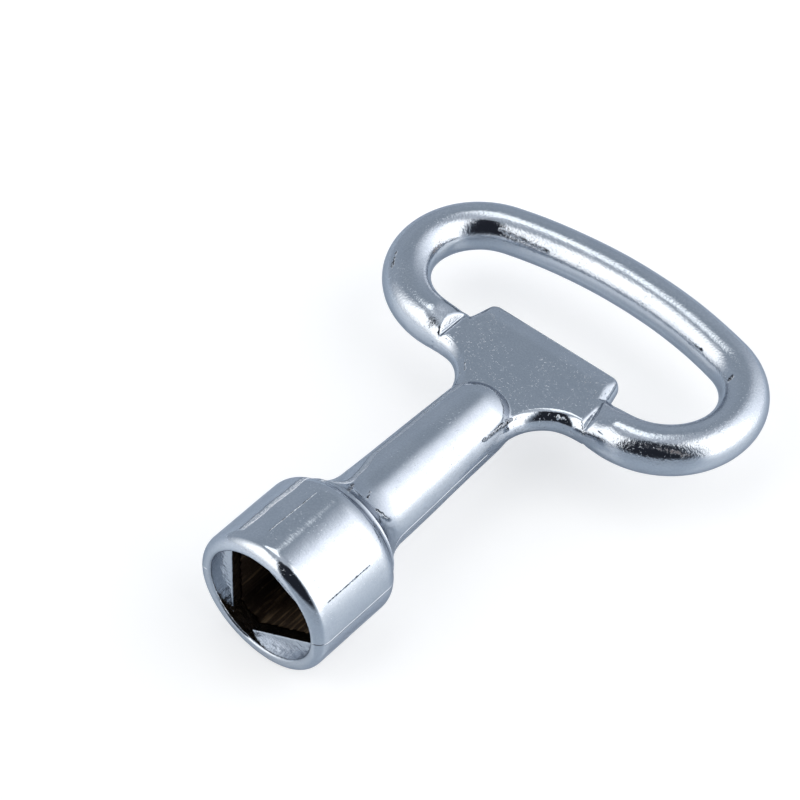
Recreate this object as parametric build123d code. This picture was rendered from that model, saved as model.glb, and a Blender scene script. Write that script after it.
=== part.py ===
from build123d import *
import os

# A triangular-socket utility key, in millimetres. It lies flat: +Y runs from the socket's mouth
# along the shank to the finger loop, +X runs across the loop, and +Z is up, square to the loop.
# The origin is the centre of the socket's mouth. The key is one casting, held here as the five
# members it is made of, which meet face to face.

# Head: a turned drum with a rounded front edge and a softer rear shoulder.
HEAD_RADIUS = 8.0
HEAD_LENGTH = 12.1
HEAD_FRONT_ROUND = 0.8
HEAD_REAR_ROUND = 2.1

# Socket: a round blind bore, which three lands make into a triangle behind a short counterbore.
SOCKET_RADIUS = 6.5
SOCKET_DEPTH = 10.0
SOCKET_RIM_ROUND = 0.3
LAND_SETBACK = 1.0
LAND_TO_AXIS = 4.45
LAND_DIRECTIONS = (180, 60, -60)

# Shank: a flared neck, a shaft with a moulder's draft, and a domed end that stands on the web.
NECK_RADIUS = 6.55
NECK_STEP = 0.45
NECK_END = 16.8
SHANK_RADIUS_AT_NECK = 4.55
SHANK_RADIUS_AT_DOME = 4.06
DOME_CENTRE = 32.6

# Web: the flat pad, thinner than the bar and the shank, with full-round outer edges.
WEB_THICKNESS = 3.0
WEB_EDGE_ROUND = 1.4
WEB_HALF_WIDTH = 9.6
WEB_FOOT = 30.0
WEB_FOOT_HALF_WIDTH = 3.9
WEB_FILLET = 5.4

# Lip: the web's inner edge, which stands into the finger opening and falls away to a thin nose.
LIP_EDGE = 46.8
LIP_CREASE = 44.7
LIP_SHOULDER = 43.2
LIP_HALF_WIDTH_AT_SHOULDER = 9.05
LIP_HALF_WIDTH_AT_EDGE = 8.0
LIP_CORNER_ROUND = 1.2
LIP_NOSE_HEIGHT = 2.0
LIP_NOSE_START = 46.1

# Loop: a round bar on a centreline of tangent arcs, from the middle of the far side to the web.
BAR_RADIUS = 2.65
LOOP_FAR_SIDE = 59.28
FAR_SIDE_BEND = (53.2, 16.0)
FAR_CORNER_BEND = (8.16, 89.3)
NEAR_CORNER_BEND = (8.63, 79.2)
SHOULDER_BEND = (9.9, 4.5)


def on_shank_axis(sketch: Sketch) -> Part:
    """Turn a half profile, drawn with x as the radius and y as the height, about the key's axis."""
    return revolve(sketch, Axis.Y, 360)


def head_profile() -> Sketch:
    """The drum's half section, with its blind socket."""
    front_centre = (HEAD_RADIUS - HEAD_FRONT_ROUND, HEAD_FRONT_ROUND)
    rear_centre = (HEAD_RADIUS - HEAD_REAR_ROUND, HEAD_LENGTH - HEAD_REAR_ROUND)
    rim_centre = (SOCKET_RADIUS + SOCKET_RIM_ROUND, SOCKET_RIM_ROUND)
    front_round = CenterArc(front_centre, HEAD_FRONT_ROUND, 270, 90)
    rear_round = CenterArc(rear_centre, HEAD_REAR_ROUND, 0, 90)
    rim_round = CenterArc(rim_centre, SOCKET_RIM_ROUND, 180, 90)
    rim = Line(rim_round @ 1, front_round @ 0)
    side = Line(front_round @ 1, rear_round @ 0)
    back_face = Line(rear_round @ 1, (0, HEAD_LENGTH))
    socket = Polyline((0, HEAD_LENGTH), (0, SOCKET_DEPTH), (SOCKET_RADIUS, SOCKET_DEPTH), rim_round @ 0)
    return make_face(Curve() + [rim_round, rim, front_round, side, rear_round, back_face, socket])


def socket_head() -> Part:
    """The drum that carries the socket."""
    return on_shank_axis(head_profile())


def drive_land(direction: float) -> Part:
    """The part of the socket's round that lies beyond one flat, from the setback to the floor."""
    length = SOCKET_DEPTH - LAND_SETBACK
    toward_handle = Plane(origin=(0, LAND_SETBACK, 0), x_dir=(1, 0, 0), z_dir=(0, 1, 0))
    plug = Cylinder(SOCKET_RADIUS, length, align=(Align.CENTER, Align.CENTER, Align.MIN))
    block = Box(SOCKET_RADIUS, length, 2 * SOCKET_RADIUS, align=(Align.MIN, Align.MIN, Align.CENTER))
    beyond_flat = Rot(0, -direction, 0) * Pos(LAND_TO_AXIS, LAND_SETBACK, 0) * block
    return (toward_handle * plug) & beyond_flat


def drive_lands() -> Compound:
    """The three separate lands, a third of a turn apart."""
    return Compound(children=[drive_land(direction) for direction in LAND_DIRECTIONS])


def shank_profile() -> Sketch:
    """The half section from the head's back face to the tip of the dome."""
    neck_foot = (NECK_RADIUS, HEAD_LENGTH)
    neck_top = (NECK_RADIUS, HEAD_LENGTH + NECK_STEP)
    flare = TangentArc((SHANK_RADIUS_AT_NECK, NECK_END), neck_top, tangent=(0, -1))
    shaft = Line((SHANK_RADIUS_AT_NECK, NECK_END), (SHANK_RADIUS_AT_DOME, DOME_CENTRE))
    dome = CenterArc((0, DOME_CENTRE), SHANK_RADIUS_AT_DOME, 0, 90)
    axis = Polyline(dome @ 1, (0, HEAD_LENGTH), neck_foot, neck_top)
    return make_face(Curve() + [flare, shaft, dome, axis])


def shank() -> Part:
    """The neck, the shaft and the dome as one turned solid."""
    return on_shank_axis(shank_profile())


def loop_centreline() -> list:
    """Right half of the bar's centreline: tangent arcs of (radius, turn), then a run to the axis."""
    arcs = []
    start, heading = (0, LOOP_FAR_SIDE), (1, 0)
    for radius, turn in (FAR_SIDE_BEND, FAR_CORNER_BEND, NEAR_CORNER_BEND):
        arcs.append(JernArc(start, heading, radius, -turn))
        start, heading = arcs[-1] @ 1, arcs[-1] % 1
    shoulder = JernArc(start, heading, *SHOULDER_BEND)
    run_in = Line(shoulder @ 1, (0, (shoulder @ 1).Y))
    return arcs + [shoulder, run_in]


def bar_section() -> Sketch:
    """The bar's round section, across the middle of the far side."""
    far_middle = Plane(origin=(0, LOOP_FAR_SIDE, 0), z_dir=(1, 0, 0))
    return far_middle * Circle(BAR_RADIUS)


def handle_loop(web_side: Part) -> Part:
    """The bent bar, mirrored about the shank's axis and cut off flat where the web starts."""
    right = sweep(bar_section(), path=Wire(loop_centreline()))
    loop = right + mirror(right, Plane.YZ)
    return loop - web_side


def web_space() -> Part:
    """The block between the bar's two cut ends."""
    from_foot = (Align.CENTER, Align.MIN, Align.CENTER)
    block = Box(2 * WEB_HALF_WIDTH, LIP_EDGE - WEB_FOOT, 4 * BAR_RADIUS, align=from_foot)
    return Pos(0, WEB_FOOT, 0) * block


def web_outline(bar_end: Vector) -> Sketch:
    """The web in plan: two concave sides that leave the shank, and the lip inside the loop."""
    side_edge = bar_end.Y - BAR_RADIUS
    fillet_centre = (WEB_HALF_WIDTH, side_edge - WEB_FILLET)
    side = CenterArc(fillet_centre, WEB_FILLET, 90, 90)
    lip = FilletPolyline(
        (WEB_HALF_WIDTH, LIP_SHOULDER),
        (LIP_HALF_WIDTH_AT_SHOULDER, LIP_SHOULDER),
        (LIP_HALF_WIDTH_AT_EDGE, LIP_EDGE),
        (0, LIP_EDGE),
        radius=[0, LIP_CORNER_ROUND],
    )
    foot = Polyline(side @ 1, (WEB_FOOT_HALF_WIDTH, WEB_FOOT), (0, WEB_FOOT), (0, LIP_EDGE))
    end = Line(side @ 0, (WEB_HALF_WIDTH, LIP_SHOULDER))
    right = make_face(Curve() + [side, foot, end, lip])
    return right + mirror(right, Plane.YZ)


def lip_side_view() -> Part:
    """The web seen from the side: flat, then a shallow bevel down to a round nose."""
    half = WEB_THICKNESS / 2
    nose_half = LIP_NOSE_HEIGHT / 2
    nose = ThreePointArc((LIP_NOSE_START, nose_half), (LIP_EDGE, 0), (LIP_NOSE_START, -nose_half))
    under = Polyline(nose @ 1, (LIP_CREASE, -half), (WEB_FOOT, -half))
    over = Polyline((WEB_FOOT, -half), (WEB_FOOT, half), (LIP_CREASE, half), nose @ 0)
    side_view = Plane.YZ * make_face(Curve() + [nose, under, over])
    return extrude(side_view, amount=WEB_HALF_WIDTH, both=True)


def handle_web(shaft: Part) -> Part:
    """The pad, rounded along its two concave sides and seated around the shank's domed end."""
    bar_end = loop_centreline()[-1] @ 1
    plate = extrude(web_outline(bar_end), amount=WEB_THICKNESS / 2, both=True)
    arcs = plate.edges().filter_by(GeomType.CIRCLE)
    concave_sides = arcs.filter_by(lambda arc: abs(arc.radius - WEB_FILLET) < 0.01)
    plate = fillet(concave_sides, WEB_EDGE_ROUND)
    return (plate & lip_side_view()) - shaft


os.makedirs("parts", exist_ok=True)
members = {
    "socket_head": socket_head(),
    "drive_lands": drive_lands(),
    "shank": shank(),
    "handle_web": handle_web(shank()),
    "handle_loop": handle_loop(web_space()),
}
for name, solid in members.items():
    export_step(solid, f"parts/{name}.step")
    print(name, round(solid.volume, 1), "mm3", solid.bounding_box())
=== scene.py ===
"""Looks of a chrome-plated, die-cast key with a triangular socket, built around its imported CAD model.

The casting is described once, as one signed distance in millimetres with true fillets, and each visible
piece is a closed mesh taken from it between flat cuts, so that the plating runs on without a seam.
"""
import math

import bmesh
import bpy
import numpy as np
import openvdb
from mathutils import Matrix, Vector


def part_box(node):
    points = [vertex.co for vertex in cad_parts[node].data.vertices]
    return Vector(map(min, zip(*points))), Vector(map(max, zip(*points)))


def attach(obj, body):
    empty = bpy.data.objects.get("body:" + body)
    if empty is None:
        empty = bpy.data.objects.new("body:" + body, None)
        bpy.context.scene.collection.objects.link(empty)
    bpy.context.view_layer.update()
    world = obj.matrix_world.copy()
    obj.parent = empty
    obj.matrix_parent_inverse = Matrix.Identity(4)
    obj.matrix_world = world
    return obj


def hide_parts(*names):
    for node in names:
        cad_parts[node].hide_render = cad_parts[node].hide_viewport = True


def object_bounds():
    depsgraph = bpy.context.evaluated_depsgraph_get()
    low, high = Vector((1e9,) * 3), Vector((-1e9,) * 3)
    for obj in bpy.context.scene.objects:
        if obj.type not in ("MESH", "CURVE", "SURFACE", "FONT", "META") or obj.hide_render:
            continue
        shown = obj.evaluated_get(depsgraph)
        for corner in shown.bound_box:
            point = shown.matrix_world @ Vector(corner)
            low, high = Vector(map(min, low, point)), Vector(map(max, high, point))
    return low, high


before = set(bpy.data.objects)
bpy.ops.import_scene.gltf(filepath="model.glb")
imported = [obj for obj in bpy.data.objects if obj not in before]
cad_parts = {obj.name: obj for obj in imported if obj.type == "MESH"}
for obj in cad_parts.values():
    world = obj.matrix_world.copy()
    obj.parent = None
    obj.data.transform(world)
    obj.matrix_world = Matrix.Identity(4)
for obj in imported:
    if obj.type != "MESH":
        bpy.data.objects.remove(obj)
CAD_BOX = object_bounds()

MM = 0.001


def box_mm(node):
    low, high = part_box(node)
    return np.array(low) / MM, np.array(high) / MM


# ---------------------------------------------------------------- sizes, millimetres
CAD_LOW, CAD_HIGH = np.array(CAD_BOX[0]) / MM, np.array(CAD_BOX[1]) / MM
HEAD_LOW, HEAD_HIGH = box_mm("socket_head")
SHANK_LOW, SHANK_HIGH = box_mm("shank")
WEB_LOW, WEB_HIGH = box_mm("handle_web")
LOOP_LOW, LOOP_HIGH = box_mm("handle_loop")
LAND_LOW, LAND_HIGH = box_mm("drive_lands")

HEAD_RADIUS = HEAD_HIGH[0]
HEAD_LENGTH = HEAD_HIGH[1]
HEAD_FRONT_ROUND = 0.8
HEAD_REAR_ROUND = 2.1
# the front edge is buffed rounder on one side
BUFFED_ROUND = 0.75
BUFFED_SIDE = math.radians(72)

SOCKET_RADIUS = LAND_HIGH[2]
SOCKET_DEPTH = LAND_HIGH[1]
LAND_SETBACK = LAND_LOW[1]
LAND_TO_AXIS = 4.45
LAND_DIRECTIONS = (180, 60, -60)
RIM_ROUND = 0.3
LAND_EDGE_ROUND = 0.12
LAND_BEDDING = 0.3

NECK_RADIUS = SHANK_HIGH[0]
NECK_STEP = 0.45
NECK_FILLET = 0.5
NECK_END = 16.8
SHANK_RADIUS_AT_NECK = 4.55
SHANK_RADIUS_AT_DOME = 4.06
DOME_CENTRE = SHANK_HIGH[1] - SHANK_RADIUS_AT_DOME

WEB_HALF_THICKNESS = WEB_HIGH[2]
WEB_EDGE_RADIUS = 1.62
WEB_CREASE_ROUND = 0.1
ROUND_RIM_START = 6.0
# the rim's bevel is on the upper side only: its slope, its width at the step and further in, and its growth
RIM_BEVEL = math.radians(60)
BEVEL_GROWTH = 2.5
RIM_BEVEL_WIDTH = (0.8, 1.05)
WEB_HALF_WIDTH = WEB_HIGH[0]
WEB_FOOT = WEB_LOW[1]
WEB_SIDE_RADIUS = 5.4
WEB_ROOT_TAPER = 0.1
# how far the pad's outline runs on under the bar, stays inside the bar's sides and runs into the shank
PAD_OVERLAP = 0.5
STRIP_SETBACK = 0.02
ROOT_SETBACK = 0.2
ROOT_IN_SHANK = 3
STEP_LEAN = 0.6
STEP_AT_AXIS = (9.78, 9.64)
STEP_SLANT = (0.05, 0.27)
STEP_ROUND = 0.18
STEP_FILLET = 0.15
SHANK_FILLET = 0.2
# how much of its height the bar's upper side keeps at the step, and the length over which it gains the rest
BAR_FLATNESS = 0.78
BAR_GROWTH = 3.0

LIP_EDGE = WEB_HIGH[1]
LIP_CREASE = 44.7
LIP_SHOULDER = 43.2
LIP_HALF_WIDTH_AT_SHOULDER = 9.4
LIP_HALF_WIDTH_AT_EDGE = 8.5
LIP_CORNER_ROUND = 1.0
LIP_ROOT = 1.4
LIP_BEVEL = math.radians(16)
LIP_BEVEL_ROUND = 0.15

BAR_RADIUS = LOOP_HIGH[2]
LOOP_FAR_SIDE = LOOP_HIGH[1] - BAR_RADIUS
# (radius, turn in degrees) of each tangent arc, from the middle of the far side to the web
LOOP_BENDS = ((53.2, 16.0), (8.16, 89.3), (8.63, 79.2), (9.9, -4.5))


# ---------------------------------------------------------------- signed distance tools
def union_round(a, b, radius):
    """Union of two solids with a circular fillet in the corner between them."""
    corner = np.hypot(np.maximum(radius - a, 0), np.maximum(radius - b, 0))
    return np.maximum(radius, np.minimum(a, b)) - corner


def cut_round(a, b, radius):
    """Intersection of two solids with a rounded edge."""
    corner = np.hypot(np.maximum(radius + a, 0), np.maximum(radius + b, 0))
    return np.minimum(-radius, np.maximum(a, b)) + corner


def ramp(value, low, high):
    """A smooth rise from 0 at low to 1 at high."""
    t = np.clip((value - low) / (high - low), 0, 1)
    return t * t * (3 - 2 * t)


# ---------------------------------------------------------------- the casting's members
def loop_arcs():
    """Centres, radii and angular spans of the right half of the bar's centreline."""
    arcs = []
    position = np.array([0.0, LOOP_FAR_SIDE])
    heading = 0.0
    for radius, turn in LOOP_BENDS:
        side = -math.copysign(1, turn)
        centre = position + side * radius * np.array([-math.sin(heading), math.cos(heading)])
        start = heading - side * math.pi / 2
        sweep = math.radians(-turn)
        heading += sweep
        position = centre - side * radius * np.array([-math.sin(heading), math.cos(heading)])
        arcs.append((centre, radius, start, sweep))
    return arcs, position


ARCS, BAR_END = loop_arcs()
BAR_AXIS_AT_WEB = BAR_END[1]


def arc_distance(x, y, arc):
    centre, radius, start, sweep = arc
    dx, dy = x - centre[0], y - centre[1]
    middle = start + sweep / 2
    off = (np.arctan2(dy, dx) - middle + math.pi) % (2 * math.pi) - math.pi
    along = np.clip(off, -abs(sweep) / 2, abs(sweep) / 2) + middle
    return np.hypot(dx - radius * np.cos(along), dy - radius * np.sin(along))


def loop_bar(x, y, z):
    """The round bar, on both sides of the shank's axis, lower on its upper side beside the steps."""
    side = np.abs(x)
    away = np.hypot(np.maximum(side - BAR_END[0], 0), y - BAR_AXIS_AT_WEB)
    for arc in ARCS:
        away = np.minimum(away, arc_distance(side, y, arc))
    grown = ramp(side, WEB_HALF_WIDTH, WEB_HALF_WIDTH + BAR_GROWTH)
    grown = np.maximum(grown, ramp(y, LIP_EDGE, LIP_EDGE + 3))
    height = np.where(z > 0, BAR_FLATNESS + (1 - BAR_FLATNESS) * grown, 1.0)
    return (np.hypot(away, z / height) - BAR_RADIUS) * height


def step_plane(x, y, z):
    """The leaning wall where the round bar stops and the flat pad starts; negative on the bar's side."""
    at_axis = np.where(x < 0, STEP_AT_AXIS[0], STEP_AT_AXIS[1])
    slant = np.where(x < 0, STEP_SLANT[0], STEP_SLANT[1]) * (BAR_AXIS_AT_WEB - y)
    lean = STEP_LEAN * (np.abs(z) - WEB_HALF_THICKNESS)
    wall = (at_axis + lean + slant - np.abs(x)) / math.hypot(1, STEP_LEAN)
    return np.minimum(wall, LIP_EDGE + BAR_RADIUS - y)


def web_plan(x, y):
    """Signed distance to the pad's outline, seen from above."""
    side = np.abs(x)
    end = side - WEB_HALF_WIDTH - PAD_OVERLAP
    bar_strip = np.maximum(np.abs(y - BAR_AXIS_AT_WEB) - BAR_RADIUS + STRIP_SETBACK, end)
    slope = (LIP_HALF_WIDTH_AT_SHOULDER - LIP_HALF_WIDTH_AT_EDGE) / (LIP_EDGE - LIP_SHOULDER)
    lip_side = (side - LIP_HALF_WIDTH_AT_SHOULDER + slope * (y - LIP_SHOULDER)) / math.hypot(1, slope)
    lip = cut_round(y - LIP_EDGE, lip_side, LIP_CORNER_ROUND)
    lip = np.maximum(lip, BAR_AXIS_AT_WEB - LIP_ROOT - y)
    centre_y = BAR_AXIS_AT_WEB - BAR_RADIUS - WEB_SIDE_RADIUS
    waist = WEB_HALF_WIDTH - WEB_SIDE_RADIUS
    concave = WEB_SIDE_RADIUS - np.hypot(side - WEB_HALF_WIDTH, y - centre_y)
    level = centre_y + WEB_SIDE_RADIUS - y
    taper = side - waist + WEB_ROOT_TAPER * (centre_y - y)
    edge = np.where(y < centre_y, taper, np.where(side > WEB_HALF_WIDTH, level, concave))
    root = np.maximum(edge, y - BAR_AXIS_AT_WEB - BAR_RADIUS + ROOT_SETBACK)
    root = np.maximum(np.maximum(root, end), WEB_FOOT - ROOT_IN_SHANK - y)
    return np.minimum(np.minimum(bar_strip, lip), root)


def web_pad(x, y, z):
    """The pad: cut off flat above and below, with a rim as round as the bar where the two meet."""
    height = np.abs(z)
    beside_bar = ramp(np.abs(x), ROUND_RIM_START, WEB_HALF_WIDTH)
    beside_bar = beside_bar * ramp(y, LIP_SHOULDER + 0.6, LIP_SHOULDER - 0.6)
    rim_radius = WEB_EDGE_RADIUS + (BAR_RADIUS - WEB_EDGE_RADIUS) * beside_bar
    plan = web_plan(x, y)
    rim = np.hypot(np.maximum(plan + rim_radius, 0), height) - rim_radius
    inward = ramp(WEB_HALF_WIDTH + 0.3 - np.abs(x), 0, BEVEL_GROWTH)
    bevel_width = RIM_BEVEL_WIDTH[0] + (RIM_BEVEL_WIDTH[1] - RIM_BEVEL_WIDTH[0]) * inward
    shoulder = (plan + bevel_width) * math.cos(RIM_BEVEL)
    shoulder = shoulder + (z - WEB_HALF_THICKNESS) * math.sin(RIM_BEVEL)
    rim = cut_round(rim, shoulder, 0.1 + 0.5 * beside_bar)
    plate = cut_round(rim, height - WEB_HALF_THICKNESS, WEB_CREASE_ROUND)
    bevel = (height - WEB_HALF_THICKNESS) * math.cos(LIP_BEVEL)
    bevel = bevel + (y - LIP_CREASE) * math.sin(LIP_BEVEL)
    return cut_round(plate, bevel, LIP_BEVEL_ROUND)


def shank_bar(radius, y):
    """The tapered shaft with its domed end: a round cone."""
    length = DOME_CENTRE - NECK_END
    sine = (SHANK_RADIUS_AT_NECK - SHANK_RADIUS_AT_DOME) / length
    cosine = math.sqrt(1 - sine * sine)
    up = y - NECK_END
    cone = radius * cosine + up * sine - SHANK_RADIUS_AT_NECK
    dome = np.hypot(radius, up - length) - SHANK_RADIUS_AT_DOME
    on_dome = radius * sine - (up - length) * cosine < 0
    return np.maximum(np.where(on_dome, dome, cone), HEAD_LENGTH - 1 - y)


def neck(radius, y):
    """The flared foot of the shank, on the head's back face."""
    width = NECK_RADIUS - SHANK_RADIUS_AT_NECK
    height = NECK_END - HEAD_LENGTH - NECK_STEP
    flare_radius = (width ** 2 + height ** 2) / (2 * width)
    flare = flare_radius - np.hypot(radius - SHANK_RADIUS_AT_NECK - flare_radius, y - NECK_END)
    flare = np.maximum(flare, np.maximum(y - NECK_END, radius - NECK_RADIUS))
    return np.maximum(flare, HEAD_LENGTH - 1 - y)


def head_drum(x, y, z):
    """The drum's rounded outside."""
    middle = HEAD_LENGTH / 2
    radius = np.hypot(x, z)
    lean = (x * math.cos(BUFFED_SIDE) + z * math.sin(BUFFED_SIDE)) / np.maximum(radius, 1)
    front = HEAD_FRONT_ROUND + BUFFED_ROUND * ramp(lean, -0.5, 0.7)
    rounding = np.where(y < middle, front, HEAD_REAR_ROUND)
    across = radius - HEAD_RADIUS + rounding
    along = np.abs(y - middle) - middle + rounding
    outside = np.hypot(np.maximum(across, 0), np.maximum(along, 0))
    inside = np.minimum(np.maximum(across, along), 0)
    return outside + inside - rounding


def socket_triangle(x, z):
    """Distance outside the three flats."""
    angles = [math.radians(a) for a in LAND_DIRECTIONS]
    flats = [x * math.cos(a) + z * math.sin(a) for a in angles]
    return np.maximum.reduce(flats) - LAND_TO_AXIS


def lands(x, y, z):
    """The three walls that narrow the round socket to a triangle, let a little into the wall behind them."""
    radius = np.hypot(x, z)
    wall = cut_round(-socket_triangle(x, z), LAND_SETBACK - y, LAND_EDGE_ROUND)
    return np.maximum(wall, np.maximum(radius - SOCKET_RADIUS, y - SOCKET_DEPTH) - LAND_BEDDING)


def casting(x, y, z):
    """Signed distance to the whole key but for the lands."""
    radius = np.hypot(x, z)
    bar = cut_round(loop_bar(x, y, z), step_plane(x, y, z), STEP_ROUND)
    handle = union_round(bar, web_pad(x, y, z), STEP_FILLET)
    handle = union_round(handle, shank_bar(radius, y), SHANK_FILLET)
    body = union_round(head_drum(x, y, z), np.minimum(neck(radius, y), handle), NECK_FILLET)
    socket = np.maximum(radius - SOCKET_RADIUS, y - SOCKET_DEPTH)
    return cut_round(body, -socket, RIM_ROUND)


# ---------------------------------------------------------------- cast unevenness
RNG = np.random.default_rng(7)


def wave_set(count, shortest, longest, height):
    """Random plane waves that add up to a smooth unevenness of about the given height."""
    directions = RNG.normal(size=(count, 3))
    directions /= np.linalg.norm(directions, axis=1)[:, None]
    lengths = RNG.uniform(shortest, longest, count)
    phases = RNG.uniform(0, 2 * math.pi, count)
    return directions * (2 * math.pi / lengths)[:, None], phases, height * math.sqrt(2 / count)


SWELLS = wave_set(18, 6.0, 14.0, 0.010)
RIPPLES = wave_set(30, 1.4, 3.5, 0.0016)


def waves(points, waves_):
    vectors, phases, height = waves_
    return height * np.sin(points @ vectors.T + phases).sum(axis=1)


def uneven(distance):
    """The same solid with the casting's unevenness, as a function of an array of points."""
    def surface(points):
        return distance(*points.T) - waves(points, SWELLS) - waves(points, RIPPLES)
    return surface


def gradient(surface, points, step=0.01):
    out = np.empty_like(points)
    for axis in range(3):
        shift = np.zeros(3)
        shift[axis] = step
        out[:, axis] = surface(points + shift) - surface(points - shift)
    return out / (2 * step)


def settle(surface, points, rounds=4):
    """Move points along the gradient onto the surface."""
    for _ in range(rounds):
        slope = gradient(surface, points)
        size = np.maximum((slope ** 2).sum(axis=1), 0.25)
        points = points - slope * (surface(points) / size)[:, None]
    return np.clip(points, CAD_LOW, CAD_HIGH)


# ---------------------------------------------------------------- meshing
VOXEL = 0.2
FINE_VOXEL = 0.1
HEAD_CUT = HEAD_LENGTH
SHANK_CUT = WEB_FOOT
BAR_CUT = WEB_HALF_WIDTH + 1.4
LOOP_CUT = LIP_EDGE + 3


def surface_mesh(distance, low, high, voxel):
    """A bmesh of the solid's surface, in millimetres, with its points on the exact surface."""
    axes = [np.arange(a - 3 * voxel, b + 3 * voxel, voxel) for a, b in zip(low, high)]
    x, y, z = np.meshgrid(*axes, indexing="ij")
    values = np.clip(distance(x, y, z), -1, 1).astype(np.float32)
    grid = openvdb.FloatGrid(background=1.0)
    grid.copyFromArray(values)
    points, quads = grid.convertToQuads(isovalue=0.0)
    corner = np.array([axis[0] for axis in axes])
    points = settle(uneven(distance), points.astype(float) * voxel + corner)
    mesh = bpy.data.meshes.new("surface")
    mesh.from_pydata(points, [], quads[:, ::-1].tolist())
    bm = bmesh.new()
    bm.from_mesh(mesh)
    bpy.data.meshes.remove(mesh)
    bmesh.ops.recalc_face_normals(bm, faces=bm.faces[:])
    for face in bm.faces:
        face.smooth = True
    return bm


def cut_edges(bm, point, normal, clear):
    geometry = bm.verts[:] + bm.edges[:] + bm.faces[:]
    bmesh.ops.bisect_plane(bm, geom=geometry, dist=1e-6, plane_co=point, plane_no=normal, clear_outer=clear)


def close_cuts(bm):
    rims = [edge for edge in bm.edges if edge.is_boundary]
    caps = bmesh.ops.holes_fill(bm, edges=rims, sides=0)["faces"]
    for cap in caps:
        cap.smooth = False
    bmesh.ops.recalc_face_normals(bm, faces=bm.faces[:])


def between(bm, *planes):
    """A closed copy of what lies on the inner side of each plane, given as (point, outward normal)."""
    piece = bm.copy()
    for point, normal in planes:
        cut_edges(piece, point, normal, clear=True)
    close_cuts(piece)
    return piece


def loop_part(bm):
    """The round bar, closed off at both of its ends beside the web."""
    piece = bm.copy()
    for side in (-1, 1):
        cut_edges(piece, (side * BAR_CUT, 0, 0), (side, 0, 0), clear=False)
    inner = []
    for face in piece.faces:
        centre = face.calc_center_median()
        if abs(centre.x) < BAR_CUT and centre.y < LOOP_CUT:
            inner.append(face)
    bmesh.ops.delete(piece, geom=inner, context="FACES")
    close_cuts(piece)
    return piece


def exact_normals(mesh, surface):
    """Give each corner the surface's own normal, and each cap its flat one."""
    count = len(mesh.vertices)
    points = np.empty(count * 3)
    mesh.vertices.foreach_get("co", points)
    normals = gradient(surface, points.reshape(-1, 3))
    normals /= np.linalg.norm(normals, axis=1)[:, None]
    corner_vertex = np.empty(len(mesh.loops), dtype=int)
    mesh.loops.foreach_get("vertex_index", corner_vertex)
    corners = normals[corner_vertex]
    for polygon in mesh.polygons:
        if not polygon.use_smooth:
            corners[list(polygon.loop_indices)] = polygon.normal
    mesh.normals_split_custom_set(corners.tolist())


def add_piece(name, bm, distance, node, material):
    """Turn a bmesh in millimetres into the visible piece that stands for a CAD node."""
    mesh = bpy.data.meshes.new(name)
    bm.to_mesh(mesh)
    bm.free()
    exact_normals(mesh, uneven(distance))
    mesh.transform(Matrix.Scale(MM, 4))
    mesh.materials.append(material)
    piece = bpy.data.objects.new(name, mesh)
    bpy.context.collection.objects.link(piece)
    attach(piece, "root")
    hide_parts(node)
    return piece


def build_key(plating, socket_metal):
    low = np.minimum.reduce([HEAD_LOW, SHANK_LOW, WEB_LOW, LOOP_LOW])
    high = np.maximum.reduce([HEAD_HIGH, SHANK_HIGH, WEB_HIGH, LOOP_HIGH])
    whole = surface_mesh(casting, low, high, VOXEL)
    head_end = (0, HEAD_CUT, 0)
    shank_end = (0, SHANK_CUT, 0)
    loop_side = (0, LOOP_CUT, 0)
    head = between(whole, (head_end, (0, 1, 0)))
    shank = between(whole, (head_end, (0, -1, 0)), (shank_end, (0, 1, 0)))
    bar_ends = [((side * BAR_CUT, 0, 0), (side, 0, 0)) for side in (-1, 1)]
    web = between(whole, (shank_end, (0, -1, 0)), (loop_side, (0, 1, 0)), *bar_ends)
    loop = loop_part(whole)
    whole.free()
    add_piece("head", head, casting, "socket_head", plating)
    add_piece("stem", shank, casting, "shank", plating)
    add_piece("web", web, casting, "handle_web", plating)
    add_piece("loop", loop, casting, "handle_loop", plating)
    walls = surface_mesh(lands, LAND_LOW, LAND_HIGH, FINE_VOXEL)
    add_piece("lands", walls, lands, "drive_lands", socket_metal)


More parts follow.
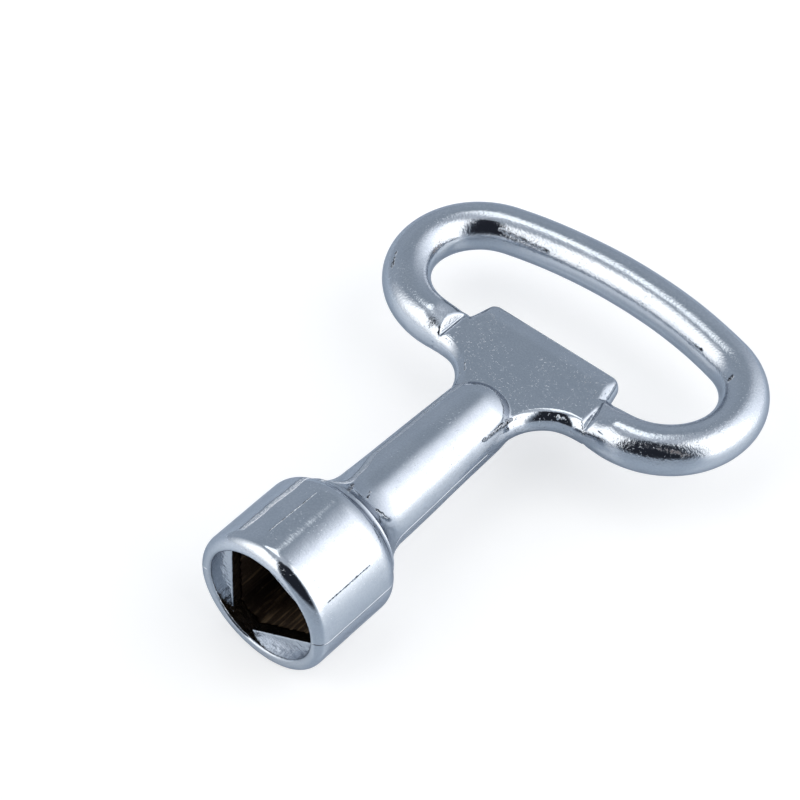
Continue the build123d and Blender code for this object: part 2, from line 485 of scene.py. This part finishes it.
# ---------------------------------------------------------------- materials
class Nodes:
    """Short calls for making a node tree."""

    def __init__(self, tree):
        self.tree = tree
        tree.nodes.clear()

    def add(self, kind, inputs=(), **settings):
        node = self.tree.nodes.new(kind)
        for key, value in settings.items():
            setattr(node, key, value)
        for key, value in dict(inputs).items():
            if isinstance(value, bpy.types.NodeSocket):
                self.tree.links.new(value, node.inputs[key])
            else:
                node.inputs[key].default_value = value
        return node

    def math(self, operation, a, b=0.0, clamp=False):
        return self.add("ShaderNodeMath", {0: a, 1: b}, operation=operation, use_clamp=clamp).outputs[0]

    def times(self, a, b):
        return self.math("MULTIPLY", a, b)

    def inverse(self, value):
        return self.math("SUBTRACT", 1.0, value)

    def vector(self, operation, inputs):
        return self.add("ShaderNodeVectorMath", inputs, operation=operation)

    def stretched(self, scale):
        return self.add("ShaderNodeMapping", {0: self.place, "Scale": scale}).outputs[0]

    def smooth(self, value, low, high, out_low=0.0, out_high=1.0):
        inputs = {"Value": value, "From Min": low, "From Max": high, "To Min": out_low, "To Max": out_high}
        return self.add("ShaderNodeMapRange", inputs, interpolation_type="SMOOTHSTEP").outputs[0]

    def noise(self, scale, detail=2.0, roughness=0.5, vector=None):
        inputs = {"Scale": scale, "Detail": detail, "Roughness": roughness}
        inputs["Vector"] = vector if vector is not None else self.place
        return self.add("ShaderNodeTexNoise", inputs).outputs["Fac"]

    def mix(self, factor, a, b):
        node = self.add("ShaderNodeMix", {0: factor, 6: a, 7: b}, data_type="RGBA")
        return node.outputs[2]

    def bump(self, height, strength, distance, normal=None):
        inputs = {"Height": height, "Strength": strength, "Distance": distance}
        if normal is not None:
            inputs["Normal"] = normal
        return self.add("ShaderNodeBump", inputs).outputs[0]


def new_material(name):
    material = bpy.data.materials.new(name)
    material.use_nodes = True
    nodes = Nodes(material.node_tree)
    nodes.place = nodes.add("ShaderNodeTexCoord").outputs["Object"]
    return material, nodes


PLATING = (0.58, 0.61, 0.65, 1)
PLATING_HAZE = (0.54, 0.575, 0.62, 1)
PLATING_SPECK = (0.45, 0.48, 0.53, 1)
PLATING_EDGE = (0.70, 0.71, 0.74, 1)
# painted highlight: a near-white colour for the rough crests of the dressed-off flash on the head; the
# crests are real, their glint is painted
CREST_GLINT = (0.82, 0.85, 0.90, 1)
# painted shade: near black put into the stem's seam pores and the torn spots, for the shade in these small
# hollows
PIT_SHADE = (0.03, 0.028, 0.03, 1)
# painted shade: near black for the bottom of the socket
DEPTH_SHADE_COLOUR = (0.016, 0.011, 0.008, 1)
TARNISH_BROWN = (0.15, 0.088, 0.07, 1)
BARE_METAL = (0.04, 0.026, 0.017, 1)
BARE_STREAK = (0.24, 0.17, 0.10, 1)

# how far the plating reaches into the socket, and between which depths the bare metal behind it is painted
# dark as shade
PLATING_REACH = 2.1
PLATING_FADE = 0.5
DEPTH_SHADE_RANGE = (4.5, 9.0)

# the rough line that the dressed-off flash has left along the head and the stem
SEAM_START = 1.4
SEAM_X = (-3.8, -1.5, -2.5)
SEAM_BENDS = ((10.0, 15.0), (15.5, 21.0))
SEAM_HALF_WIDTH = 0.45
SEAM_WANDER = 1.2
PARTING_HALF_WIDTH = 0.11
# start, end and half width, in millimetres, of scratched and torn spots in the casting's skin, whose torn
# pits get painted shade
SCARS = (
    ((6.85, 2.4, 4.2), (6.8, 8.4, 4.2), 0.09),
    ((-1.25, 3.0, 7.9), (-1.05, 9.5, 7.9), 0.07),
    ((3.62, 29.8, 2.0), (3.6, 34.4, 1.4), 0.24),
    ((1.0, 15.3, 4.8), (1.5, 14.2, 5.0), 0.16),
    ((2.9, 14.0, 4.5), (3.9, 14.8, 3.4), 0.22),
    ((-0.8, 14.6, 5.0), (0.1, 12.8, 6.3), 0.25),
    ((-5.0, 37.3, 1.5), (-4.4, 36.5, 1.5), 0.12),
    ((6.9, 38.0, 1.2), (10.3, 38.9, 1.75), 0.28),
    ((10.3, 38.9, 1.75), (14.4, 38.9, 1.45), 0.08),
    ((-20.4, 44.4, 2.2), (-19.5, 42.4, 2.1), 0.22),
    ((17.2, 53.3, 2.0), (17.4, 53.9, 2.2), 0.28),
    ((-14.6, 55.1, 1.8), (-8.9, 56.2, 1.4), 0.26),
    ((-8.5, 56.1, 1.4), (-3.5, 56.8, 1.4), 0.10),
    ((3.5, 56.75, 1.4), (12.4, 55.5, 1.4), 0.17),
)
# the same for brown stains
TARNISH = (
    ((16.2, 40.3, 1.95), (20.2, 42.4, 1.75), 0.33),
    ((-18.2, 48.0, 1.3), (-18.3, 49.4, 1.4), 0.45),
)

# fineness of each layer of the skin's relief, in features per metre, and its height in metres
GROUND = (700, 0.000010)
ORANGE_PEEL = (3600, 0.000020)
GRAIN = (6500, 0.0000018)
BRUSHING = (5000, 0.0000035)
FLASH = (3400, 0.00022)
CREST = (4600, 0.00030)
FLECK = (3800, 0.00004)
SOCKET_SKIN = (1700, 0.00010)
SCAR_HEIGHT = 0.00030
PARTING_HEIGHT = 0.00009


def seam_band(nodes, axes):
    """1 along the middle of the seam on the upper side, fading to 0 beside it."""
    first, second = SEAM_BENDS
    line = nodes.smooth(axes[1], first[0] * MM, first[1] * MM, SEAM_X[0] * MM, SEAM_X[1] * MM)
    shift = nodes.smooth(axes[1], second[0] * MM, second[1] * MM, 0.0, (SEAM_X[2] - SEAM_X[1]) * MM)
    line = nodes.math("ADD", line, shift)
    wander = nodes.times(nodes.math("SUBTRACT", nodes.noise(220), 0.5), SEAM_WANDER * MM)
    offset = nodes.math("ABSOLUTE", nodes.math("SUBTRACT", nodes.math("ADD", axes[0], wander), line))
    near = nodes.smooth(offset, SEAM_HALF_WIDTH * MM, 0.1 * MM)
    upper = nodes.math("GREATER_THAN", axes[2], WEB_HALF_THICKNESS * MM)
    behind_rim = nodes.smooth(axes[1], SEAM_START * MM, (SEAM_START + 1) * MM)
    before_web = nodes.math("LESS_THAN", axes[1], (DOME_CENTRE + 2) * MM)
    return nodes.times(near, nodes.times(upper, nodes.times(behind_rim, before_web)))


def marks(nodes, lines, ragged):
    """1 along short ragged lines between pairs of points, fading to 0 at each line's half width."""
    nearest = None
    for start, end, half_width in lines:
        a = Vector(start) * MM
        along = Vector(end) * MM - a
        away = nodes.vector("SUBTRACT", {0: nodes.place, 1: a}).outputs[0]
        part = nodes.vector("DOT_PRODUCT", {0: away, 1: along}).outputs["Value"]
        part = nodes.math("DIVIDE", part, along.length_squared, clamp=True)
        foot = nodes.vector("SCALE", {0: along, "Scale": part}).outputs[0]
        distance = nodes.vector("DISTANCE", {0: away, 1: foot}).outputs["Value"]
        reach = nodes.math("DIVIDE", distance, half_width * MM)
        nearest = reach if nearest is None else nodes.math("MINIMUM", reach, nearest)
    return nodes.smooth(nodes.math("ADD", nearest, ragged), 1.0, 0.2)


def axis_distance(nodes, axes):
    """Distance from the shank's axis."""
    squares = nodes.math("ADD", nodes.math("POWER", axes[0], 2), nodes.math("POWER", axes[2], 2))
    return nodes.math("SQRT", squares)


def parting_line(nodes, axes):
    """The thin ridge half way up the head and the stem, where the two halves of the mould met."""
    height = nodes.math("ABSOLUTE", axes[2])
    ridge = nodes.smooth(height, PARTING_HALF_WIDTH * MM, 0.0)
    before_web = nodes.math("LESS_THAN", axes[1], WEB_FOOT * MM)
    side = nodes.math("ABSOLUTE", axes[0])
    outside = nodes.math("GREATER_THAN", side, (SHANK_RADIUS_AT_DOME - 0.3) * MM)
    clear_of_socket = nodes.math("GREATER_THAN", axis_distance(nodes, axes), (SOCKET_RADIUS + 0.4) * MM)
    behind_socket = nodes.math("GREATER_THAN", axes[1], (SOCKET_DEPTH + 0.5) * MM)
    not_inside = nodes.math("MAXIMUM", clear_of_socket, behind_socket)
    return nodes.times(nodes.times(ridge, before_web), nodes.times(outside, not_inside))


def inside_socket(nodes, axes):
    """1 on the walls of the socket, 0 outside."""
    within = nodes.math("LESS_THAN", axis_distance(nodes, axes), (SOCKET_RADIUS + 0.05) * MM)
    return nodes.times(within, nodes.math("LESS_THAN", axes[1], HEAD_LENGTH * MM))


def bare_metal(nodes, axes, inside):
    """1 deep in the socket, where the plating didn't reach, with a ragged border."""
    ragged = nodes.times(nodes.noise(1500, detail=3), 0.8 * MM)
    depth = nodes.math("SUBTRACT", axes[1], ragged)
    deep = nodes.smooth(depth, (PLATING_REACH - PLATING_FADE) * MM, PLATING_REACH * MM)
    return nodes.times(deep, inside)


def skin_relief(nodes, axes, inside, scars, flash, crest):
    """The skin's normal. flash and crest are pairs of a noise and where it stands up."""
    on_bar = nodes.smooth(nodes.math("ABSOLUTE", axes[0]), 8 * MM, 11 * MM)
    far_bar = nodes.smooth(axes[1], 50 * MM, 53 * MM)
    peel = nodes.math("MAXIMUM", on_bar, far_bar)
    normal = nodes.bump(nodes.noise(GROUND[0], detail=3, roughness=0.5), 1.0, GROUND[1])
    orange = nodes.noise(ORANGE_PEEL[0], detail=3, roughness=0.6)
    orange = nodes.times(orange, nodes.math("ADD", peel, 0.2))
    normal = nodes.bump(orange, 1.0, ORANGE_PEEL[1], normal)
    normal = nodes.bump(nodes.noise(GRAIN[0], detail=2, roughness=0.6), 1.0, GRAIN[1], normal)
    turned = nodes.stretched((0.12, 1.0, 0.12))
    brushed = nodes.times(nodes.noise(BRUSHING[0], vector=turned), nodes.inverse(peel))
    normal = nodes.bump(brushed, 1.0, BRUSHING[1], normal)
    normal = nodes.bump(nodes.times(*flash), 1.0, FLASH[1], normal)
    normal = nodes.bump(nodes.times(*crest), 1.0, CREST[1], normal)
    normal = nodes.bump(nodes.times(flash[0], scars), 1.0, SCAR_HEIGHT, normal)
    normal = nodes.bump(parting_line(nodes, axes), 1.0, PARTING_HEIGHT, normal)
    clusters = nodes.smooth(nodes.noise(330, detail=2), 0.40, 0.6)
    clusters = nodes.times(clusters, nodes.inverse(inside))
    off_pad = nodes.math("MAXIMUM", peel, nodes.smooth(axes[1], 36 * MM, 33 * MM))
    clusters = nodes.times(clusters, nodes.smooth(off_pad, 0.0, 1.0, 1.0, 0.25))
    flecks = nodes.smooth(nodes.noise(FLECK[0], detail=4, roughness=0.6), 0.61, 0.70)
    normal = nodes.bump(nodes.times(flecks, clusters), 1.0, FLECK[1], normal)
    rough_walls = nodes.times(nodes.noise(SOCKET_SKIN[0], detail=4), inside)
    return nodes.bump(rough_walls, 1.0, SOCKET_SKIN[1], normal)


def plated_colour(nodes, haze, pit_shade, crest_glints, stained):
    """The plating: hazy patches, fine specks, painted shade in the seam's pores and the torn spots, pale
    crests painted as highlights and brown stains.
    """
    tint = nodes.mix(nodes.smooth(haze, 0.35, 0.7), PLATING, PLATING_HAZE)
    speckle = nodes.smooth(nodes.noise(5200, detail=2), 0.35, 0.65)
    tint = nodes.mix(nodes.times(speckle, 0.35), tint, PLATING_SPECK)
    surface = nodes.mix(crest_glints, nodes.mix(pit_shade, tint, PIT_SHADE), CREST_GLINT)
    return nodes.mix(stained, surface, TARNISH_BROWN)


def bare_colour(nodes, depth_shade):
    """Bare metal, streaked along the socket, with painted shade darkening it towards its bottom."""
    drawn = nodes.stretched((1.0, 0.1, 1.0))
    streak = nodes.smooth(nodes.noise(1500, detail=4, vector=drawn), 0.5, 0.72)
    return nodes.mix(depth_shade, nodes.mix(streak, BARE_METAL, BARE_STREAK), DEPTH_SHADE_COLOUR)


def chrome(name):
    """Bright plating with a cast, slightly rippled ground; bare deep in the socket, with painted shade
    darkening it towards the bottom.
    """
    material, nodes = new_material(name)
    axes = nodes.add("ShaderNodeSeparateXYZ", {0: nodes.place}).outputs
    inside = inside_socket(nodes, axes)
    bare = bare_metal(nodes, axes, inside)
    seam = seam_band(nodes, axes)
    ragged = nodes.times(nodes.math("SUBTRACT", nodes.noise(3000, detail=3), 0.5), 1.8)
    scars = marks(nodes, SCARS, ragged)
    flash_noise = nodes.noise(FLASH[0], detail=4, roughness=0.65)
    crest_noise = nodes.noise(CREST[0], detail=2)
    on_stem = nodes.smooth(axes[1], (HEAD_LENGTH + 1.5) * MM, (HEAD_LENGTH + 4) * MM)
    seam_on_stem = nodes.times(seam, on_stem)
    seam_on_head = nodes.math("SUBTRACT", seam, seam_on_stem)
    normal = skin_relief(nodes, axes, inside, scars, (flash_noise, seam), (crest_noise, seam_on_head))
    haze = nodes.noise(260, detail=3)
    # painted shade: the stem's seam pores and the torn spots are coloured near black
    pore_shade = nodes.times(nodes.smooth(flash_noise, 0.60, 0.68), seam_on_stem)
    torn_shade = nodes.times(nodes.smooth(flash_noise, 0.45, 0.54), scars)
    # painted highlight: pale, barely metallic spots on the crests of the head's rough seam flash
    crest_glints = nodes.times(nodes.smooth(crest_noise, 0.49, 0.56), seam_on_head)
    blotchy = nodes.smooth(nodes.noise(4200, detail=4, roughness=0.7), 0.42, 0.68)
    stained = nodes.times(marks(nodes, TARNISH, ragged), blotchy)
    plated = plated_colour(nodes, haze, nodes.math("MAXIMUM", pore_shade, torn_shade), crest_glints, stained)
    # painted shade: towards the socket's bottom the bare metal turns near black, barely metallic and less
    # specular
    depth_shade = nodes.times(nodes.smooth(axes[1], DEPTH_SHADE_RANGE[0] * MM, DEPTH_SHADE_RANGE[1] * MM), bare)
    colour = nodes.mix(nodes.smooth(bare, 0.0, 0.3), plated, bare_colour(nodes, depth_shade))
    dull = nodes.math("MAXIMUM", nodes.times(nodes.smooth(bare, 0.5, 1.0), 0.6), stained)
    dull = nodes.math("MAXIMUM", dull, nodes.times(crest_glints, 0.8))
    unshaded = nodes.inverse(depth_shade)
    rough = nodes.times(nodes.math("MAXIMUM", bare, seam), 0.35)
    rough = nodes.math("ADD", nodes.smooth(haze, 0.3, 0.75, 0.06, 0.12), rough)
    inputs = {"Base Color": colour, "Metallic": nodes.times(nodes.inverse(dull), unshaded),
              "Roughness": rough, "Normal": normal, "Specular Tint": PLATING_EDGE,
              "Specular IOR Level": nodes.times(unshaded, 0.5)}
    shader = nodes.add("ShaderNodeBsdfPrincipled", inputs)
    nodes.add("ShaderNodeOutputMaterial", {"Surface": shader.outputs[0]})
    return material


# ---------------------------------------------------------------- studio
CENTRE = (Vector(CAD_BOX[0]) + Vector(CAD_BOX[1])) / 2
FLOOR_SIZE = 6.0
PANEL_DISTANCE = 1.6


def direction(azimuth, elevation):
    """Azimuth 0 looks back along -Y and 90 along +X."""
    a, e = math.radians(azimuth), math.radians(elevation)
    return Vector((math.sin(a) * math.cos(e), -math.cos(a) * math.cos(e), math.sin(e)))


def feather(value, low, high, soft_low, soft_high):
    rise = min(max((value - low) / soft_low, 0), 1) if soft_low else 1
    fall = min(max((high - value) / soft_high, 0), 1) if soft_high else 1
    return rise * rise * (3 - 2 * rise) * fall * fall * (3 - 2 * fall)


def panel(name, azimuths, elevations, soft, material, distance=PANEL_DISTANCE):
    """A curved panel of the light tent; soft is how far it fades at its left, right, bottom and top edge."""
    step = 2.0
    across = np.linspace(*azimuths, int((azimuths[1] - azimuths[0]) / step) + 1)
    up = np.linspace(*elevations, int((elevations[1] - elevations[0]) / step) + 1)
    points, weights = [], []
    for e in up:
        for a in across:
            points.append(CENTRE + direction(a, e) * distance)
            sideways = feather(a, *azimuths, soft[0], soft[1])
            weights.append(sideways * feather(e, *elevations, soft[2], soft[3]))
    n = len(across)
    faces = []
    for row in range(len(up) - 1):
        for column in range(n - 1):
            k = row * n + column
            faces.append((k, k + 1, k + n + 1, k + n))
    mesh = bpy.data.meshes.new(name)
    mesh.from_pydata(points, [], faces)
    attribute = mesh.attributes.new("level", "FLOAT", "POINT")
    attribute.data.foreach_set("value", weights)
    mesh.materials.append(material)
    obj = bpy.data.objects.new(name, mesh)
    bpy.context.collection.objects.link(obj)
    obj.visible_camera = False
    obj.visible_shadow = False
    return obj


def light_material(name, colour, strength):
    """Light that fades to clear towards the panel's edges."""
    material, nodes = new_material(name)
    level = nodes.add("ShaderNodeAttribute", attribute_name="level").outputs["Fac"]
    glow = nodes.add("ShaderNodeEmission", {"Color": colour, "Strength": strength}).outputs[0]
    clear = nodes.add("ShaderNodeBsdfTransparent").outputs[0]
    mixed = nodes.add("ShaderNodeMixShader", {0: level, 1: clear, 2: glow}).outputs[0]
    nodes.add("ShaderNodeOutputMaterial", {"Surface": mixed})
    return material


SOFTBOX = (1.0, 1.0, 1.0, 1)
SKY_LOW = (0.42, 0.48, 0.56, 1)
SKY_MIDDLE = (0.375, 0.43, 0.50, 1)
SKY_TOP = (0.62, 0.67, 0.74, 1)


def tent():
    """The cloth round the table: a little darker half way up, lighter overhead."""
    world = bpy.data.worlds.new("tent")
    world.use_nodes = True
    nodes = Nodes(world.node_tree)
    place = nodes.add("ShaderNodeTexCoord").outputs["Generated"]
    height = nodes.add("ShaderNodeSeparateXYZ", {0: place}).outputs[2]
    lower = nodes.mix(nodes.smooth(height, 0.45, 0.75), SKY_LOW, SKY_MIDDLE)
    colour = nodes.mix(nodes.smooth(height, 0.86, 0.985), lower, SKY_TOP)
    background = nodes.add("ShaderNodeBackground", {"Color": colour, "Strength": 1.0})
    nodes.add("ShaderNodeOutputWorld", {"Surface": background.outputs[0]})
    bpy.context.scene.world = world


def studio():
    """Two softboxes beside the camera, a strip above the far side and the unlit room behind the camera."""
    tent()
    main_light = light_material("softbox_light", SOFTBOX, 2.0)
    panel("left_softbox", (-84, -4), (-16, 66), (38, 2, 44, 12), main_light)
    panel("right_softbox", (75, 152), (-3, 76), (12, 16, 1, 12), main_light)
    wing = light_material("wing_light", (0.94, 0.97, 1.03, 1), 1.6)
    panel("right_wing", (134, 202), (-3, 70), (10, 62, 1, 14), wing)
    strip = light_material("strip_light", (0.95, 0.98, 1, 1), 1.95)
    panel("far_strip", (-160, -84), (58, 88), (10, 12, 4, 4), strip)
    room = light_material("room", (0.022, 0.025, 0.034, 1), 1.0)
    panel("camera_side", (-4, 78), (-2, 80), (3, 14, 14, 8), room)


def floor_sheet(name, drop, material):
    mesh = bpy.data.meshes.new(name)
    half = FLOOR_SIZE / 2
    level = CAD_BOX[0][2] - drop
    corners = [(-half, -half, level), (half, -half, level), (half, half, level), (-half, half, level)]
    mesh.from_pydata(corners, [], [(0, 1, 2, 3)])
    mesh.materials.append(material)
    obj = bpy.data.objects.new(name, mesh)
    bpy.context.collection.objects.link(obj)
    return obj


def one_sided(nodes, shader):
    """Clear from below, so that the underside can be looked at."""
    back = nodes.add("ShaderNodeNewGeometry").outputs["Backfacing"]
    clear = nodes.add("ShaderNodeBsdfTransparent").outputs[0]
    mixed = nodes.add("ShaderNodeMixShader", {0: back, 1: shader, 2: clear}).outputs[0]
    nodes.add("ShaderNodeOutputMaterial", {"Surface": mixed})


TABLE = (0.50, 0.56, 0.63, 1)


def floors():
    """A pale sheet for the camera, and just under it the glossy blue-grey table that the plating mirrors."""
    pale, nodes = new_material("pale_floor")
    sheet_inputs = {"Base Color": (0.5, 0.5, 0.5, 1), "Roughness": 1.0, "Specular IOR Level": 0.0,
                    "Emission Color": (1, 1, 1, 1), "Emission Strength": 0.6}
    one_sided(nodes, nodes.add("ShaderNodeBsdfPrincipled", sheet_inputs).outputs[0])
    sheet = floor_sheet("floor", 0.0, pale)
    sheet.visible_glossy = False
    sheet.visible_shadow = False
    grey, nodes = new_material("table")
    table_inputs = {"Base Color": TABLE, "Roughness": 0.15, "IOR": 1.9,
                    "Emission Color": TABLE, "Emission Strength": 0.22}
    one_sided(nodes, nodes.add("ShaderNodeBsdfPrincipled", table_inputs).outputs[0])
    table = floor_sheet("table", 0.00005, grey)
    table.visible_camera = False
    table.visible_diffuse = False
    table.visible_shadow = False


# ---------------------------------------------------------------- camera
CAMERA_AZIMUTH = 38.615
CAMERA_ELEVATION = 47.503
CAMERA_ROLL = 2.494
CAMERA_PLACE = (0.11428, -0.12257, 0.21288)
CAMERA_LENS = 125.28


def add_camera():
    data = bpy.data.cameras.new("camera")
    data.lens = CAMERA_LENS
    data.sensor_width = 36
    camera = bpy.data.objects.new("camera", data)
    back = direction(CAMERA_AZIMUTH, CAMERA_ELEVATION)
    level = Vector((0, 0, 1)).cross(back).normalized()
    upright = back.cross(level)
    roll = math.radians(CAMERA_ROLL)
    right = level * math.cos(roll) + upright * math.sin(roll)
    up = back.cross(right)
    turn = Matrix((right, up, back)).transposed()
    camera.matrix_world = Matrix.Translation(CAMERA_PLACE) @ turn.to_4x4()
    bpy.context.collection.objects.link(camera)
    bpy.context.scene.camera = camera


def main():
    build_key(chrome("bright_plating"), chrome("socket_metal"))
    add_camera()
    studio()
    floors()
    bpy.context.scene.view_settings.view_transform = "Standard"


main()
